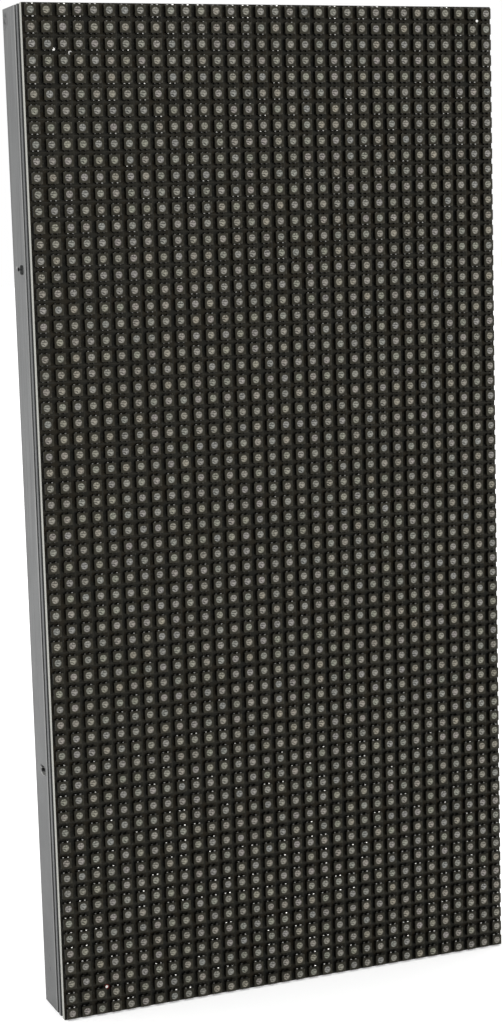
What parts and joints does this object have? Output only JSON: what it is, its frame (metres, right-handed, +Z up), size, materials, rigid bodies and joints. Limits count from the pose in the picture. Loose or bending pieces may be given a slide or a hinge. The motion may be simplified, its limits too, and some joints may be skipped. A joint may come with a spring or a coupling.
{
  "type": "led dot matrix",
  "caption": "Rectangular tile of square surface-mounted LED packages in a grid on a black board, with a ribbed plastic rear frame and threaded wall fixings.",
  "frame": {"origin": "centre of the footprint, on the surface that the tile's short lower edge stands on", "axes": "+Z up along the long side, -Y out of the LED face, +X to the right as seen from the front"},
  "size_m": [0.0958, 0.0138, 0.1918],
  "materials": {
    "board": "black solder mask over glass-epoxy, pale fibre at the sawn edges",
    "led_body": "matt black package with a milky round lens",
    "frame_plastic": "dark grey moulded plastic, satin",
    "brass": "turned brass",
    "tinned_steel": "tin plated",
    "zinc_steel": "zinc plated",
    "header_plastic": "black glass-filled nylon",
    "gold_pins": "flash gold over brass",
    "power_plastic": "natural nylon",
    "tinned_pins": "tin plated",
    "chip_resin": "black moulding compound with tinned leads",
    "can_aluminium": "bright drawn can",
    "ceramic": "tan ceramic with tinned ends",
    "resistor": "black glaze with tinned ends"
  },
  "bodies": {
    "root": {"led_board": "board", "led_packages_1": "led_body", "led_packages_2": "led_body", "led_packages_3": "led_body", "led_packages_4": "led_body", "led_packages_5": "led_body", "led_packages_6": "led_body", "led_packages_7": "led_body", "led_packages_8": "led_body", "rear_frame": "frame_plastic", "mount_inserts": "brass", "solder_nuts": "tinned_steel", "board_screws": "zinc_steel", "data_in_shroud": "header_plastic", "data_in_pins": "gold_pins", "data_out_shroud": "header_plastic", "data_out_pins": "gold_pins", "power_header_body": "power_plastic", "power_header_pins": "tinned_pins", "driver_chips": "chip_resin", "buffer_chips": "chip_resin", "decoder_chips": "chip_resin", "row_switch_chips": "chip_resin", "capacitor_bases": "header_plastic", "capacitor_cans": "can_aluminium", "ceramic_capacitors": "ceramic", "chip_resistors": "resistor"}
  },
  "joints": []
}
